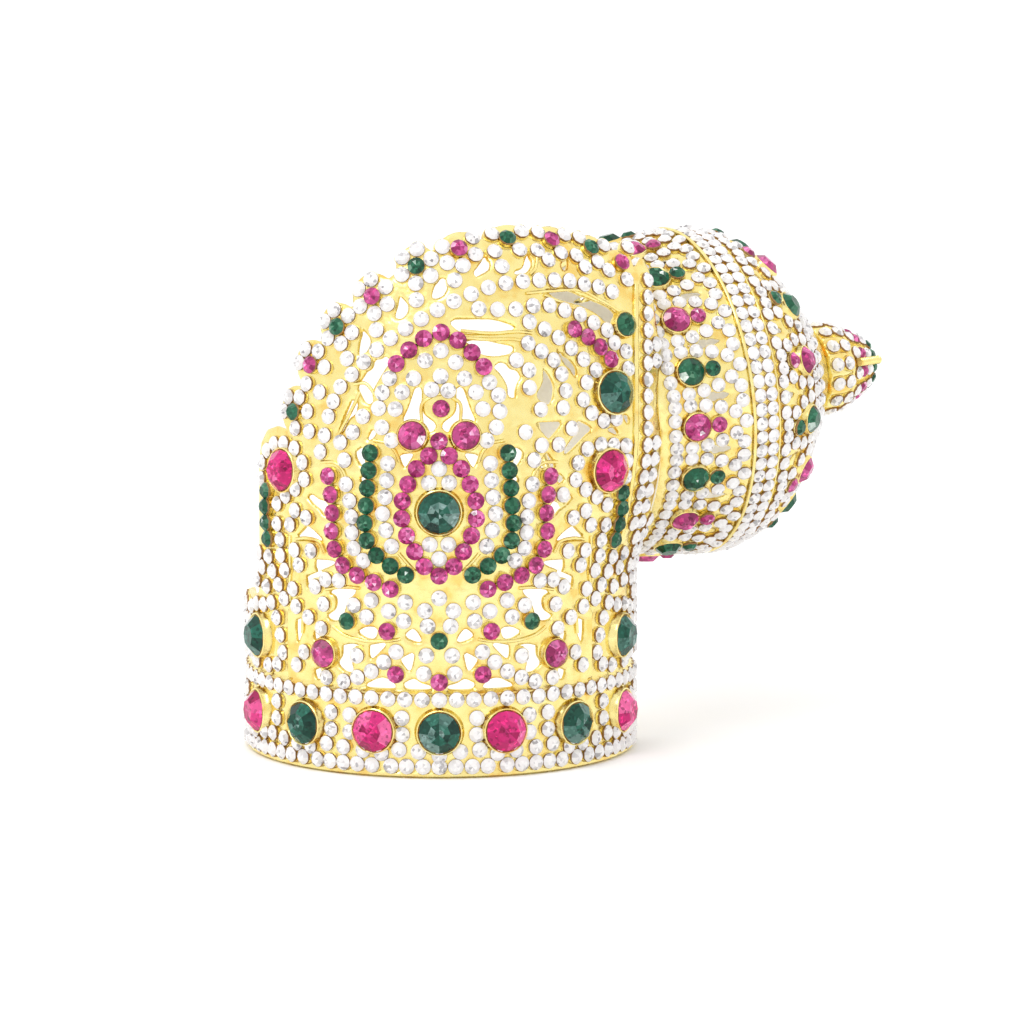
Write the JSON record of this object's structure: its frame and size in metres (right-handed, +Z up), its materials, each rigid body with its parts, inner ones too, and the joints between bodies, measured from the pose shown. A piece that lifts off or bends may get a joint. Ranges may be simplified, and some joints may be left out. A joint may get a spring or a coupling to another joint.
{
  "type": "jeweled crown",
  "caption": "Jeweled crown of pierced gold-plated sheet, a half-round front plate open at the back, with a domed side bun and finial, set with cut stones.",
  "frame": {"origin": "middle of the crown's bounding box, on the surface that its bottom rim rests on", "axes": "+Z up, -Y towards the crown's jeweled front, +X towards the side bun and its finial"},
  "size_m": [0.1272, 0.0978, 0.1071],
  "materials": {
    "gold": "polished gold plate",
    "green_stone": "faceted, foil-backed",
    "magenta_stone": "faceted, foil-backed",
    "clear_stone": "faceted, foil-backed"
  },
  "bodies": {
    "root": {"arch_string": "magenta_stone", "band_stone_1": "magenta_stone", "band_stone_2": "green_stone", "band_stone_3": "magenta_stone", "band_stone_4": "green_stone", "band_stone_5": "magenta_stone", "band_stone_6": "green_stone", "band_stone_7": "magenta_stone", "bun_collar": "gold", "bun_dome": "gold", "bun_inner_ring": "magenta_stone", "bun_outer_ring": "magenta_stone", "centre_stone": "green_stone", "crest_stone_1": "green_stone", "crest_stone_10": "magenta_stone", "crest_stone_2": "magenta_stone", "crest_stone_3": "green_stone", "crest_stone_4": "magenta_stone", "crest_stone_5": "green_stone", "crest_stone_6": "magenta_stone", "crest_stone_7": "green_stone", "crest_stone_8": "magenta_stone", "crest_stone_9": "green_stone", "crown_plate": "gold", "ear_stone_left": "green_stone", "ear_stone_right": "green_stone", "finial": "gold", "flank_stone_left": "magenta_stone", "flank_stone_right": "magenta_stone", "inner_string_left": "green_stone", "inner_string_right": "green_stone", "motif_stone_1": "green_stone", "motif_stone_2": "magenta_stone", "motif_stone_3": "green_stone", "motif_stone_4": "magenta_stone", "motif_stone_5": "green_stone", "motif_stone_6": "magenta_stone", "motif_stone_7": "magenta_stone", "motif_stone_8": "magenta_stone", "motif_stone_9": "magenta_stone", "ogee_string": "magenta_stone", "outer_string_left": "magenta_stone", "outer_string_right": "magenta_stone", "panel_stone_left": "magenta_stone", "panel_stone_right": "magenta_stone", "shoulder_stone_big": "green_stone", "shoulder_stone_medium": "green_stone", "shoulder_string": "magenta_stone", "side_string_left": "green_stone", "side_string_right": "green_stone", "tier_stone_left": "magenta_stone", "tier_stone_right": "magenta_stone"}
  },
  "joints": []
}
